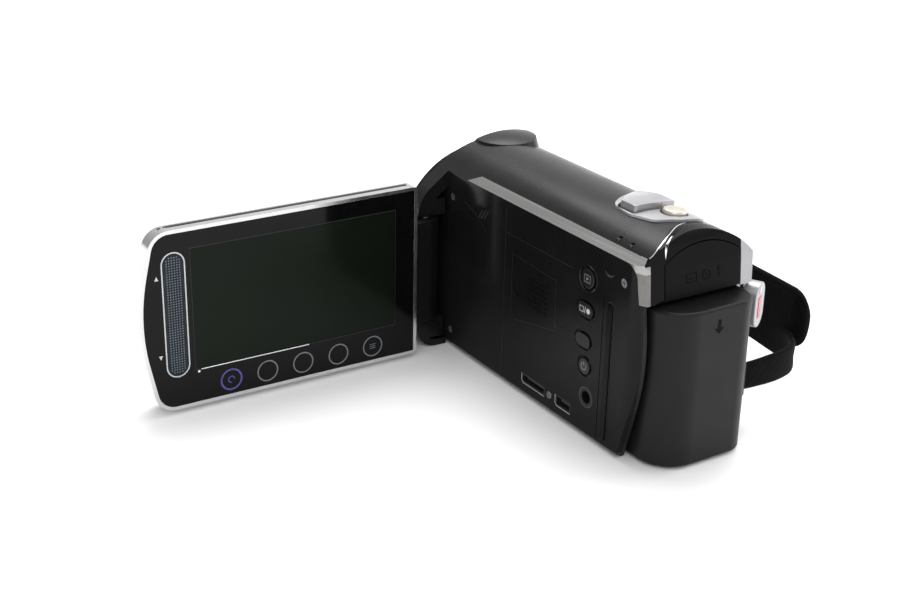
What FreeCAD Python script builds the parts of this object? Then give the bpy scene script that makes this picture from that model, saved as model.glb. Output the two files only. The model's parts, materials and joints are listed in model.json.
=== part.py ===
"""Compact camcorder with a swing-out screen, a rear battery pack and a padded hand strap.

Millimetres. The lens looks along -Y, the screen opens towards +X, the strap is on -X and +Z is up.
The origin is the centre of the tripod socket's mouth, on the underside.
"""
import FreeCAD, Part
import math
import os

from FreeCAD import Placement, Rotation, Vector

# ---------------------------------------------------------------- body
BAY_X = 18.0                 # side wall that the closed screen lies against
TRIM_Z = 53.9                # lower edge of the bevelled trim above that wall
TRIM_OUT = (15.5, 55.63)     # upper edge of the bevelled trim, where the roof starts
ROOF_C = (0.82, 36.16)       # centre of the barrel-shaped roof, in X and Z
ROOF_R = 24.4
FLANK_X = ROOF_C[0] - ROOF_R
FLANK_TOE = (-21.8, 5.0)     # where the flank starts to turn under, in X and Z
NOSE_Y = -45.0               # front face
NOSE_C = (2.0, 31.0)         # centre that the upper part of the nose narrows towards
NOSE_PROFILE = ((29.8, -33.4), (26.2, -37.6), (20.6, -45.5))   # radius and Y
BEZEL_STEP = 1.8             # the bezel narrows this much later, so its rim stands proud
BROW = (-2.6, -31.8)         # centre of the dome over the lens, in X and Y
BROW_TOP = 62.0
BROW_CURVE = 32.0            # radius of its top
BROW_EDGE = ((52.0, 11.8), (63.0, 8.4))      # height and radius along its conical edge
SHOULDER_X = 28.0            # outer face of the front shoulder and of the closed screen
SHOULDER_Y = -29.5           # rear face of the shoulder
SHOULDER_RIM = 3.8           # depth of the rim round the shoulder's rear opening
SHOULDER = [(12.0, 0.0), (SHOULDER_X, 0.0, 7), (SHOULDER_X, 46.6, 10), (12.0, 58.4)]
SIDE_OUTLINE = [(NOSE_Y, 0, 4), (52.8, 0, 1.0), (59.8, 26.5, 60), (57.2, 44.2), (59.2, 44.2), (58.4, 52.0, 30),
                (57.0, 61.5, 5), (45.0, 64.0), (NOSE_Y, 64.0)]
PLAN_OUTLINE = [(SHOULDER_X, NOSE_Y, 6), (SHOULDER_X, 20), (BAY_X, 21), (BAY_X, 56.4, 9),
                (14.9, 61.5, 3), (14.9, 70), (-13.0, 70), (-17.6, 58), (-24.5, 43, 16),
                (-24.5, NOSE_Y, 9)]
WALL = 1.8                   # casing thickness
BEZEL_Y = -39.8              # where the front bezel starts
REAR_Y = 43.5                # front wall of the battery bay
BAY_WALL = 1.2               # its thickness
BAY_OPEN = (16.3, 15.1)      # outer and inner half widths of the battery bay
BAY_CEILING = (43.4, 45.3)
FIT = 0.15                   # seam between neighbouring mouldings

# ---------------------------------------------------------------- regions that split the shell
SEAM_Z = 44.0                # roof casing meets the flank casing
BAND_PLAN = [(19, 55.2), (14.4, 57.2, 2), (9.4, 55.0, 6), (3.1, 51.6, 8), (-7.0, 50.0),
             (-8.0, 52.4), (1.6, 53.6, 8), (6.5, 55.6, 6), (10.9, 58.3), (11.1, 66), (19, 66)]
REAR_PLAN = [(19, 55.2), (19, 70), (-30, 70), (-30, 47.5), (-8, 50.0), (-7, 50.0),
             (3.1, 51.6, 8), (9.4, 55.0, 6), (14.4, 57.2, 2)]
SIDE_TRIM = [(45.5, 52.5), (42.0, 41.5, 3), (55.5, 37.0, 3), (64.0, 37.0), (64.0, 60.0), (48.0, 60.0)]
SIDE_TRIM_X = -13.4
TRIM_BAND = [(-19.5, TRIM_Z), (-11.0, 58), (48, 58), (58.9, 56.4, 7), (59.6, 44.2), (57.2, 44.2),
             (55.9, TRIM_Z, 4)]
TRIM_THICK = 1.4
COVER_X = (-13.3, 11.0)      # terminal cover
COVER_Z = (44.0, 57.6)
COVER_SPRING = 53.6          # where the arch of the cover starts
COVER_LIFT = 0.5             # gap under the cover
COVER_SKIN = 0.7             # full-size outer layer of the cover
COVER_BEVEL = 1.1            # the layer behind it is smaller by this much all round

# ---------------------------------------------------------------- front
PANEL_FACE = [(-17.0, 5.0, 5), (22.5, 5.0, 5), (22.5, 41.0, 10), (9.5, 47.0, 8), (-9.5, 47.0, 12),
              (-17.0, 38.0, 10)]
PANEL_FACE_Y = (-44.6, -43.0)
LENS = (2.0, 32.0)           # optical axis, in X and Z
LENS_R = 9.2
RING_R = 12.5
BARREL = (-39.4, 32.0, 12.4)     # front end, length and radius
ZOOM_Y = -31.0
ZOOM_R = 10.7
ZOOM_BORE = 6.6
BLADE = (10.5, 10.2, -42.9, -41.9)   # half width, height and slot of the lens cover blades
BLADE_OPEN = 9.5
MIC_X = (-5.0, 12.5)
LAMP = (-14.7, -9.9, 10.1, 13.9)
LEVER_SLOT = (17.4, 20.6, 13.9, 31.1)

# ---------------------------------------------------------------- screen and hinge
HINGE = (25.0, -31.5)        # upright swing axis of the screen, in X and Y
HINGE_Z = (10.2, 40.8)       # ends of the hinge block
HINGE_R = 4.5
HINGE_BLOCK = (25.0, 30.6, -36.0, -26.6)
HINGE_PIN_R = 1.5
TILT = (-29.75, 27.1)        # level tilt axis of the screen, in Y and Z
TILT_R = 2.6
PANEL_X = 30.9               # edge of the screen next to the hinge
PANEL_Y = (-34.5, -25.0)     # back and glass faces of the open screen
PANEL_Z = (1.65, 52.5)
PANEL_SPLIT = -29.6          # frame in front of this, back cover behind it
PANEL_TIP = 115.2
BACK_TAPER = 2.1             # the back cover narrows by this much
SCREEN = (38.2, 98.9, 12.3, 46.5)
CAP_X = 108.0                # where the end cap starts
THUMB = (123.0, 28.0, 9.2)   # notch for the thumb

# ---------------------------------------------------------------- bay wall
JACK = (39.4, 11.8)
JACK_R = (2.7, 1.75)
WIDE_SOCKET = (15.9, 5.6, 10.6, 2.6)     # Y, Z, length and height
SMALL_SOCKET = (29.7, 5.6, 6.6, 3.0)
ROUND_BUTTONS = {"play_button": (37.6, 44.4, 2.6), "power_button": (38.1, 20.3, 2.3)}
PILL_BUTTONS = {"mode_button": (37.4, 35.8, 6.4, 3.8), "quick_button": (37.0, 27.2, 6.0, 3.6)}
BUTTON_GAP = 0.15            # clearance round a push button
BUTTON_PROUD = 0.3
BUTTON_BACK = 15.6
DISH = (0.7, 0.35)           # width and depth of the dish round a button
BAY_SCREWS = ((51.7, 48.1, 1.2), (-27.0, 46.8, 1.1), (-27.0, 5.5, 1.1), (23.5, 5.6, 0.8))
GRILLE = [(3.9, 40.0, 1.5), (24.2, 39.0, 3.5), (24.6, 24.8, 1.5), (3.9, 20.8, 1.5)]
GRILLE_DEPTH = 0.7
GRILLE_HOLES = (12.3, 27.9, 1.52, 6, 0.35)      # first Y, first Z, pitch, rows and radius
SPEAKER = (16.1, 31.5, 5.2)
RIB = (47.2, 22.0, 2.2, 38.5)
BAY_GROOVE = (44.3, 2.4, 41.5, 0.3)             # Y, lowest Z, highest Z and width

# ---------------------------------------------------------------- top controls
CONTROL_TILT = 4.0           # the top controls sit this far round the roof, in degrees
CONTROL_PLAN = [(-1.8, 27.2, 5), (4.4, 29.4, 4), (8.2, 31.2, 4), (9.0, 38.5, 8), (7.2, 46.8, 5), (1.5, 51.0, 5),
                (-6.5, 50.5, 4), (-9.0, 44.0, 6), (-8.8, 31.0, 6)]
PLATE = (-0.9, 0.6)          # underside and top of the control plate, from the roof surface
LEVER_PLAN = [(7.6, 33.4, 0.8), (7.6, 39.4, 0.8), (0.8, 41.0, 6), (-5.8, 39.4, 1.5), (-5.8, 32.4, 1.5),
              (0.8, 30.6, 6)]
LEVER_PIVOT = 35.8           # Y of the lever's pivot
LEVER_GAP = 0.85             # clearance round the lever, for its swing
LEVER_LAYER = (-1.9, 2.1)    # underside and top, from the roof surface
THUMB_DISH = (12.0, 13.2)    # radius and height over the roof surface of the hollow in its top
SNAP = (-0.4, 45.0, 3.1)
SNAP_GAP = 0.55
LIGHTS = ((14.1, 44.2), (14.2, 49.2))
LIGHT_R = 0.75
RECORD = (-19.6, 57.2, 37.2)
RECORD_TURN = 30.0
RECORD_SIZE = (6.1, 3.7)     # half length and half width

# ---------------------------------------------------------------- battery
BATTERY_X = (-14.9, 14.1)    # right and left sides
BATTERY_Z = (0.8, 43.0)
BATTERY_Y = (43.9, 66.3)
BATTERY_PLAN = [(BATTERY_X[1], BATTERY_Y[0], 1), (BATTERY_X[1], BATTERY_Y[1], 9.5),
                (BATTERY_X[0], BATTERY_Y[1] - 0.4, 6), (BATTERY_X[0], BATTERY_Y[0], 1)]
BATTERY_WALL = 1.4
CELL_Y = 49.6
PEG_X = 7.0
PEG_Z = 22.0
PEG_R = 1.6

# ---------------------------------------------------------------- underside
DOOR = (-13.0, 13.0, -35.0, -16.0)
LATCH = (-6.0, 36.4, 12.0, 3.4)      # X, Y, length and width
BOSS = (-12.0, 2.1, 4.5)             # Y, radius and depth of the locating hole
SOCKET_R = 2.55
SCREW_PLACES = ((-15.0, -28.0), (13.5, 38.0), (-15.0, 38.0), (14.0, -12.0))
SCREW_R = 1.6

# ---------------------------------------------------------------- hand strap
STRAP_PATH = [(-20.0, 60.0), (-52.0, 60.0), (-56.0, 10.0, 70), (-45.0, -24.0, 24), (-20.0, -34.0)]
STRAP_T = 4.6                # pad thickness
PAD_Z = (12.0, 29.6)
PAD_Y = (-16.0, 48.2)
WEB_DEPTH = (1.3, 3.3)
WEB_PATH = [(-20.0, 52.6), (-47.4, 52.6, 9), (-48.7, 20.0), (-20.0, 20.0)]
WEB_T = 2.0
REAR_WEB_Z = (9.0, 16.4)
FRONT_WEB_Z = (15.0, 29.0)
LUG_X = -24.9

PIN_GAP = 0.05               # radial running clearance
FAR = 40.0

nodes = {}


# ---------------------------------------------------------------- helpers
def place(plane, a, b, c=0.0):
    """A point from two coordinates in a plane and one across it."""
    if plane == "xy":
        return Vector(a, b, c)
    if plane == "xz":
        return Vector(a, c, b)
    return Vector(c, a, b)


ACROSS = {"xy": Vector(0, 0, 1), "xz": Vector(0, 1, 0), "yz": Vector(1, 0, 0)}


def outline(corners, plane):
    """Closed face through corners (a, b) or (a, b, radius); a radius rounds that corner."""
    points = [place(plane, corner[0], corner[1]) for corner in corners]
    radii = [corner[2] if len(corner) > 2 else 0.0 for corner in corners]
    count = len(points)
    edges = []
    ends = []
    for i in range(count):
        before = (points[i - 1] - points[i]).normalize()
        after = (points[(i + 1) % count] - points[i]).normalize()
        if radii[i] <= 0:
            ends.append((points[i], None, points[i]))
            continue
        half = before.getAngle(after) / 2
        run = radii[i] / math.tan(half)
        middle = (before + after).normalize() * (radii[i] / math.sin(half) - radii[i])
        ends.append((points[i] + before * run, points[i] + middle, points[i] + after * run))
    for i in range(count):
        start, middle, stop = ends[i]
        if middle is not None:
            edges.append(Part.Arc(start, middle, stop).toShape())
        following = ends[(i + 1) % count][0]
        if (following - stop).Length > 1e-6:
            edges.append(Part.LineSegment(stop, following).toShape())
    return Part.Face(Part.Wire(edges))


def extrude(face, plane, low, high):
    """Sweep a face from one level to another across its plane."""
    moved = face.translated(ACROSS[plane] * low)
    return moved.extrude(ACROSS[plane] * (high - low))


def prism(corners, plane, low, high, inset=0.0):
    face = outline(corners, plane)
    if inset:
        face = face.makeOffset2D(-inset)
    return extrude(face, plane, low, high)


def box(x, y, z, radius=0.0, along=None):
    """Box between pairs of limits, with the edges along one axis rounded."""
    solid = Part.makeBox(x[1] - x[0], y[1] - y[0], z[1] - z[0], Vector(x[0], y[0], z[0]))
    if radius:
        chosen = [edge for edge in solid.Edges if abs(edge.tangentAt(0).dot(along)) > 0.99]
        solid = solid.makeFillet(radius, chosen)
    return solid


def rod(centre, axis, radius, length):
    return Part.makeCylinder(radius, length, Vector(*centre), Vector(*axis))


def tube(centre, axis, outer, inner, length):
    return rod(centre, axis, outer, length).cut(rod(centre, axis, inner, length))


def pill(y, z, long, high, x, thick, grow=0.0):
    """Slot-shaped slab on the side wall."""
    half_y = long / 2 + grow
    half_z = high / 2 + grow
    radius = min(half_y, half_z) - 0.01
    corners = [(y - half_y, z - half_z, radius), (y + half_y, z - half_z, radius),
               (y + half_y, z + half_z, radius), (y - half_y, z + half_z, radius)]
    return prism(corners, "yz", x, x + thick)


def largest(shape):
    return max(shape.Solids, key=lambda solid: solid.Volume)


def save(name, shape):
    """Keep one node: a single solid, or a compound of separate solids."""
    solids = shape.Solids
    nodes[name] = solids[0] if len(solids) == 1 else Part.Compound(solids)


# ---------------------------------------------------------------- outer form
def roof_section(inset=0.0):
    """Cross-section of the main body: flat bay wall, bevel, barrel roof and flank."""
    corners = [place("xz", 15.5, 0.0), place("xz", BAY_X, 1.6), place("xz", BAY_X, TRIM_Z),
               place("xz", *TRIM_OUT)]
    edges = [Part.LineSegment(corners[i], corners[i + 1]).toShape() for i in range(3)]
    crown = place("xz", ROOF_C[0], ROOF_C[1] + ROOF_R)
    flank = place("xz", FLANK_X, ROOF_C[1])
    toe = place("xz", -17.5, 0.0)
    edges.append(Part.Arc(corners[3], crown, flank).toShape())
    edges.append(Part.LineSegment(flank, place("xz", *FLANK_TOE)).toShape())
    edges.append(Part.Arc(place("xz", *FLANK_TOE), place("xz", -20.6, 1.5), toe).toShape())
    edges.append(Part.LineSegment(toe, corners[0]).toShape())
    face = Part.Face(Part.Wire(edges))
    return face.makeOffset2D(-inset) if inset else face


def nose_cutter():
    """What the rounding of the nose removes above the level of its centre."""
    points = [Vector(NOSE_C[0] + radius, y, NOSE_C[1]) for radius, y in NOSE_PROFILE]
    start = Vector(NOSE_C[0], points[0].y, NOSE_C[1])
    stop = Vector(NOSE_C[0], points[-1].y, NOSE_C[1])
    curve = Part.BSplineCurve()
    curve.interpolate(points)
    edges = [Part.LineSegment(start, points[0]).toShape(), curve.toShape(),
             Part.LineSegment(points[-1], stop).toShape(), Part.LineSegment(stop, start).toShape()]
    bullet = Part.Face(Part.Wire(edges)).revolve(start, Vector(0, 1, 0), 360)
    return box((-FAR, FAR), (NOSE_PROFILE[2][1], NOSE_PROFILE[0][1]), (NOSE_C[1], 80)).cut(bullet)


NOSE_CUTTER = nose_cutter()


def clip(solid, inset=0.0, step=0.0):
    """Trim to the side view, the plan view and the rounded nose of the body."""
    side = prism(SIDE_OUTLINE, "yz", -FAR, FAR, inset)
    plan = prism(PLAN_OUTLINE, "xy", -5, 70, inset)
    return solid.common(side).common(plan).cut(NOSE_CUTTER.translated(Vector(0, inset - step, -inset)))


def body_form(inset=0.0, step=0.0):
    return clip(extrude(roof_section(inset), "xz", NOSE_Y - 1, 70), inset, step)


def shoulder_form(inset=0.0, rear=SHOULDER_Y, step=0.0):
    """The front shoulder stands out to the level of the closed screen."""
    return clip(prism(SHOULDER, "xz", NOSE_Y - 1, rear, inset), inset, step)


def brow_form():
    """Low dome over the lens with a crisp conical edge."""
    (low, wide), (high, narrow) = BROW_EDGE
    edge = Part.makeCone(wide, narrow, high - low, Vector(BROW[0], BROW[1], low))
    ball = Part.makeSphere(BROW_CURVE, Vector(BROW[0], BROW[1], BROW_TOP - BROW_CURVE))
    return ball.common(edge).cut(NOSE_CUTTER)


PLAIN = body_form()
OUTER = PLAIN.fuse(brow_form()).removeSplitter()
SHELL = OUTER.cut(body_form(WALL))


def arch(grow=0.0, bottom=COVER_Z[0]):
    """Arched outline of the terminal cover, swept through the rear of the body."""
    left = COVER_X[1] + grow
    right = COVER_X[0] - grow
    low_left = place("xz", left, bottom)
    low_right = place("xz", right, bottom)
    spring_left = place("xz", left, COVER_SPRING)
    spring_right = place("xz", right, COVER_SPRING)
    crown = place("xz", (COVER_X[0] + COVER_X[1]) / 2, COVER_Z[1] + grow)
    edges = [Part.LineSegment(low_right, low_left).toShape(),
             Part.LineSegment(low_left, spring_left).toShape(),
             Part.Arc(spring_left, crown, spring_right).toShape(),
             Part.LineSegment(spring_right, low_right).toShape()]
    return extrude(Part.Face(Part.Wire(edges)), "xz", 52.0, 64.0)


def turned(shape):
    """Swing a shape made on top of the roof round to where the controls are."""
    copy = shape.copy()
    turn = Rotation(Vector(0, 1, 0), -CONTROL_TILT)
    copy.Placement = Placement(Vector(0, 0, 0), turn, Vector(ROOF_C[0], 0, ROOF_C[1])).multiply(copy.Placement)
    return copy


def roof_layer(inner, outer):
    """Layer that follows the roof, between two heights over its surface."""
    centre = (ROOF_C[0], NOSE_Y, ROOF_C[1])
    return tube(centre, (0, 1, 0), ROOF_R + outer, ROOF_R + inner, 110)


def lever_prism(inner, outer, grow=0.0):
    """Slab of such a layer with the outline of the zoom lever."""
    return roof_layer(inner, outer).common(prism(LEVER_PLAN, "xy", 45, 70, -grow))


def snap_hole(radius):
    return rod((SNAP[0], SNAP[1], 50), (0, 0, 1), radius, 20)


def light_holes(shape):
    for x, y in LIGHTS:
        shape = shape.cut(rod((x, y, 50), (0, 0, 1), LIGHT_R, 15))
    return shape


REAR_ZONE = prism(REAR_PLAN, "xy", 43.9, 70)
CONTROL_ZONE = turned(roof_layer(PLATE[0], 5.0).common(prism(CONTROL_PLAN, "xy", 40, 70)))
BAY_LIMITS = box((BAY_X - WALL, 19), (-38.0, 62), (WALL, TRIM_Z))
SIDE_ZONE = prism(SIDE_TRIM, "yz", -30, SIDE_TRIM_X)


# ---------------------------------------------------------------- casing
def bay_trim():
    """Bevelled strip over the bay that turns down the rear corner."""
    band = prism(TRIM_BAND, "yz", 13.6, 19.0)
    top = prism([(13.6, 51.9), (19, 51.9), (19, 54.2), TRIM_OUT, (13.6, 55.7)], "xz", -20, 62)
    leg = box((15.4, 19), (54.6, 62), (43, 57))
    zone = top.fuse(leg).cut(box((13, 15.4), (54.6, 62), (50, 60)))
    strip = PLAIN.cut(body_form(TRIM_THICK)).common(band).common(zone)
    return light_holes(strip)


def roof_shell(trim):
    """Roof casing from the bay trim over to the seam on the flank, with the dome over the lens."""
    outer_x = TRIM_OUT[0] + 3
    region = prism([(outer_x, 50.0), (outer_x, 70), (-30, 70), (-30, SEAM_Z), (-10, SEAM_Z), (-10, 50.0)],
                   "xz", BEZEL_Y, 60)
    shell = SHELL.common(region).cut(REAR_ZONE).cut(SIDE_ZONE)
    shell = shell.cut(box((12, 20), (NOSE_Y, 70), (40, TRIM_Z))).cut(trim)
    shell = shell.cut(CONTROL_ZONE)
    shell = shell.cut(turned(lever_prism(-5, 5, LEVER_GAP)))
    shell = shell.cut(turned(snap_hole(SNAP[2] + SNAP_GAP)))
    return light_holes(shell)


def bay_wall(cutters):
    """Flat wall behind the closed screen, with its button, jack and connector holes."""
    wall = PLAIN.common(BAY_LIMITS)
    for cutter in cutters:
        wall = wall.cut(cutter)
    return wall


def front_shoulder():
    """Shoulder that carries the hinge; cut away round the hinge block."""
    solid = shoulder_form().cut(shoulder_form(2.0))
    rim = shoulder_form().cut(shoulder_form(SHOULDER_RIM))
    solid = solid.fuse(rim.common(box((BAY_X, SHOULDER_X), (-31.3, SHOULDER_Y), (44, 60))))
    solid = solid.fuse(box((19.0, 27.6), (-31.3, SHOULDER_Y), (41.2, 46.0)))
    solid = solid.fuse(box((19.0, 27.6), (-31.3, SHOULDER_Y), (3.0, 9.8)))
    solid = solid.fuse(box((BAY_X, 27.0), (-38.2, -36.8), (4, 45)))
    solid = solid.cut(box((10, BAY_X), (-50, -20), (-1, 60)))
    solid = solid.cut(box((10, FAR), (NOSE_Y - 1, BEZEL_Y), (-1, 70)))
    solid = solid.cut(box((BAY_X - 1, FAR), (-36.8, -20), (9.8, 41.2)))
    for low in (7.0, 40.0):
        solid = solid.cut(rod((HINGE[0], HINGE[1], low), (0, 0, 1), HINGE_PIN_R, 4.0))
    return solid.common(shoulder_form())


def battery_bay(top):
    return box((-BAY_OPEN[0], BAY_OPEN[0]), (REAR_Y - BAY_WALL, 70), (-1, top))


def right_casing():
    region = prism([(-12.0, WALL), (-30, WALL), (-30, SEAM_Z), (-12, SEAM_Z)], "xz", BEZEL_Y, 62)
    return SHELL.common(region).cut(SIDE_ZONE).cut(battery_bay(46)).cut(record_well())


def base_plate():
    plate = PLAIN.common(box((-24, BAY_X), (BEZEL_Y, 62), (0, WALL))).cut(battery_bay(5))
    plate = plate.fuse(rod((0, BOSS[0], 0), (0, 0, 1), BOSS[1] + 1.2, BOSS[2] + 1.0))
    for cutter in base_cutters():
        plate = plate.cut(cutter)
    return plate


def rear_frame():
    """Battery bay: front wall, two cheeks and a ceiling, open to the rear and below."""
    solid = box((-BAY_OPEN[0], BAY_OPEN[0] - 0.1), (REAR_Y - BAY_WALL, 62), (0.2, BAY_CEILING[1]))
    solid = solid.cut(box((-BAY_OPEN[1], BAY_OPEN[1]), (REAR_Y, 70), (-1, BAY_CEILING[0])))
    solid = solid.common(PLAIN).cut(BAY_LIMITS).cut(SIDE_ZONE)
    solid = solid.cut(arch(2 * FIT)).cut(REAR_ZONE).cut(record_well())
    for x in (-PEG_X, PEG_X):
        solid = solid.fuse(rod((x, REAR_Y, PEG_Z), (0, 1, 0), PEG_R, 5.0))
    return solid


def rear_pieces(trim):
    """Split the rear of the shell into gloss band, cap and side trim."""
    opening = arch(FIT, 40)
    zone = SHELL.common(REAR_ZONE).cut(trim).cut(BAY_LIMITS).cut(opening).cut(CONTROL_ZONE)
    band_region = prism(BAND_PLAN, "xy", 40, 70)
    rest = zone.cut(band_region)
    side = SHELL.common(SIDE_ZONE).cut(opening)
    side = side.cut(battery_bay(45.4))
    cap = rest.cut(box((-30, SIDE_TRIM_X), (40, 70), (30, 70)))
    side = side.fuse(rest.common(box((-30, SIDE_TRIM_X), (40, 70), (43.9, 70)))).removeSplitter()
    return zone.common(band_region), cap, side.cut(record_well())


def terminal_cover():
    """Arched lid, bevelled inside so that it can swing out from under the cap."""
    skin = OUTER.cut(body_form(COVER_SKIN)).common(arch(-FIT, COVER_Z[0] + COVER_LIFT))
    return skin.fuse(SHELL.common(arch(-COVER_BEVEL, COVER_Z[0] + COVER_LIFT))).removeSplitter()


def make_casing():
    trim = largest(bay_trim())
    band, cap, side = rear_pieces(trim)
    save("bay_trim", trim)
    save("roof_shell", largest(roof_shell(trim)))
    save("front_shoulder", largest(front_shoulder()))
    save("right_casing", largest(right_casing()))
    save("base_plate", largest(base_plate()))
    save("rear_frame", largest(rear_frame()))
    save("rear_band", largest(band))
    save("rear_cap", largest(cap))
    save("side_trim", largest(side))
    save("terminal_cover", largest(terminal_cover()))
    save("bay_wall", largest(bay_wall(bay_cutters()).cut(trim)))


# ---------------------------------------------------------------- front
def front_bezel():
    """Rim round the front: open behind for the lens and its cover."""
    nose = body_form(0.0, BEZEL_STEP).fuse(shoulder_form(0.0, -38.0, BEZEL_STEP)).removeSplitter()
    bezel = nose.common(box((-FAR, FAR), (NOSE_Y, BEZEL_Y), (-1, 70)))
    bezel = bezel.cut(prism(PANEL_FACE, "xz", NOSE_Y - 1, PANEL_FACE_Y[1], -FIT))
    bezel = bezel.cut(prism(PANEL_FACE, "xz", NOSE_Y - 2, -30.0, 2.0))
    reach = BLADE[1] + BLADE_OPEN + 0.3
    return bezel.cut(box((LENS[0] - 11, LENS[0] + 11), (-43.0, -41.8), (LENS[1] - reach, LENS[1] + reach)))


def front_panel():
    """Black front face with the lens opening, microphone slots, lamp window and lever slot."""
    plate = prism(PANEL_FACE, "xz", *PANEL_FACE_Y)
    plate = plate.cut(rod((LENS[0], -46, LENS[1]), (0, 1, 0), RING_R + 0.2, 5))
    for x in MIC_X:
        for i in range(5):
            level = 7.2 + 1.4 * i
            plate = plate.cut(box((x - 3.2, x + 3.2), (-46, -42), (level, level + 0.6)))
    plate = plate.cut(box(LEVER_SLOT[:2], (-46, -42), LEVER_SLOT[2:]))
    return plate.cut(box((LAMP[0] - 0.2, LAMP[1] + 0.2), (-46, -42), (LAMP[2] - 0.2, LAMP[3] + 0.2)))


def lens_element(y, radius, thick, curve):
    """Biconvex glass: the part shared by a cylinder and two spheres."""
    sag = curve - math.sqrt(curve ** 2 - radius ** 2)
    half = thick / 2 + sag / 2
    slug = rod((LENS[0], y, LENS[1]), (0, 1, 0), radius, 2 * half)
    front = Part.makeSphere(curve, Vector(LENS[0], y + curve, LENS[1]))
    back = Part.makeSphere(curve, Vector(LENS[0], y + 2 * half - curve, LENS[1]))
    return slug.common(front).common(back)


def lens_tube(start, outer, inner, length):
    return tube((LENS[0], start, LENS[1]), (0, 1, 0), outer, inner, length)


def make_front():
    save("front_bezel", largest(front_bezel()))
    save("front_panel", front_panel())
    cone = Part.makeCone(12.0, LENS_R, 2.0, Vector(LENS[0], NOSE_Y - 0.5, LENS[1]), Vector(0, 1, 0))
    save("lens_ring", lens_tube(NOSE_Y - 0.5, RING_R, LENS_R, 2.4).cut(cone))
    barrel = lens_tube(BARREL[0], BARREL[2], ZOOM_R + PIN_GAP, BARREL[1])
    barrel = barrel.fuse(lens_tube(-41.2, BARREL[2], LENS_R, 1.8))
    barrel = barrel.fuse(lens_tube(-7.4, BARREL[2], 6.0, 1.5))
    save("lens_barrel", barrel.removeSplitter())
    save("lens_glass", lens_element(-39.3, LENS_R, 3.0, 20.0))
    width, height, front, back = BLADE
    across = (LENS[0] - width, LENS[0] + width)
    low = LENS[1] + PIN_GAP + BLADE_OPEN
    save("blade_upper", box(across, (front, back), (low, low + height - PIN_GAP)))
    high = LENS[1] - PIN_GAP - BLADE_OPEN
    save("blade_lower", box(across, (front, back), (high - height + PIN_GAP, high)))
    lever = box((LEVER_SLOT[0] + 0.3, LEVER_SLOT[1] - 0.3), (-45.3, -42.95), (14.2, 20.8), 0.8, Vector(0, 1, 0))
    save("cover_lever", lever.fuse(box((LEVER_SLOT[0] - 0.5, LEVER_SLOT[1] - 0.2), (-42.95, -42.1), (13.4, 21.6))))
    save("video_lamp", box(LAMP[:2], (-44.8, -42.6), LAMP[2:], 0.8, Vector(0, 1, 0)))


# ---------------------------------------------------------------- inside the camera
def make_optics():
    carrier = lens_tube(ZOOM_Y, ZOOM_R, ZOOM_BORE, 5.0)
    save("zoom_carrier", carrier.cut(lens_tube(ZOOM_Y + 1.5, ZOOM_R + 1, ZOOM_R - 0.8, 2.0)))
    save("zoom_glass", lens_element(ZOOM_Y + 0.8, ZOOM_BORE, 2.4, 16.0))
    sensor = box((LENS[0] - 7, LENS[0] + 7), (-5.7, -4.5), (LENS[1] - 4.5, LENS[1] + 8))
    chip = box((LENS[0] - 3.5, LENS[0] + 3.5), (-6.6, -5.7), (LENS[1] - 3, LENS[1] + 3))
    save("image_sensor", sensor.fuse(chip))


def connector(y, z, long, high):
    """Thin metal socket shell with a tongue inside."""
    shell = box((12.4, BAY_X - 0.1), (y - long / 2, y + long / 2), (z - high / 2, z + high / 2))
    hollow = box((13.2, 19), (y - long / 2 + 0.35, y + long / 2 - 0.35),
                 (z - high / 2 + 0.35, z + high / 2 - 0.35))
    tongue = box((13.0, BAY_X - 1.0), (y - long / 2 + 1.3, y + long / 2 - 1.3), (z - 0.3, z + 0.3))
    return shell.cut(hollow).fuse(tongue)


def make_electronics():
    save("main_board", box((11.2, 12.4), (4.0, 41.0), (3.0, 50.0), 1.0, Vector(1, 0, 0)))
    save("speaker", rod((13.6, SPEAKER[0], SPEAKER[1]), (1, 0, 0), SPEAKER[2], 2.3))
    jack = tube((12.5, *JACK), (1, 0, 0), *JACK_R, BAY_X - 12.5)
    save("audio_jack", jack.fuse(rod((12.5, *JACK), (1, 0, 0), JACK_R[0], 0.6)))
    save("signal_sockets", Part.Compound([connector(*WIDE_SOCKET), connector(*SMALL_SOCKET)]))
    card = box((-12, 11), (-34.6, -17), (3.0, 6.0))
    save("card_socket", card.cut(box((-11, 10), (-36, -18), (3.6, 5.4))))
    block = box((-11.0, 7.2), (47.0, 52.8), (46.2, 53.4)).cut(box((-8.5, -1.5), (50, 53), (48.0, 51.6)))
    save("terminal_block", block.cut(rod((3.0, 49.5, 49.8), (0, 1, 0), 1.6, 4)))
    nut = box((-8, 8), (-8, 8), (WALL, 6.0)).fuse(rod((0, 0, 0), (0, 0, 1), 5.0, 6.0))
    save("tripod_nut", nut.cut(rod((0, 0, -1), (0, 0, 1), SOCKET_R, 6.5)))


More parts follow.
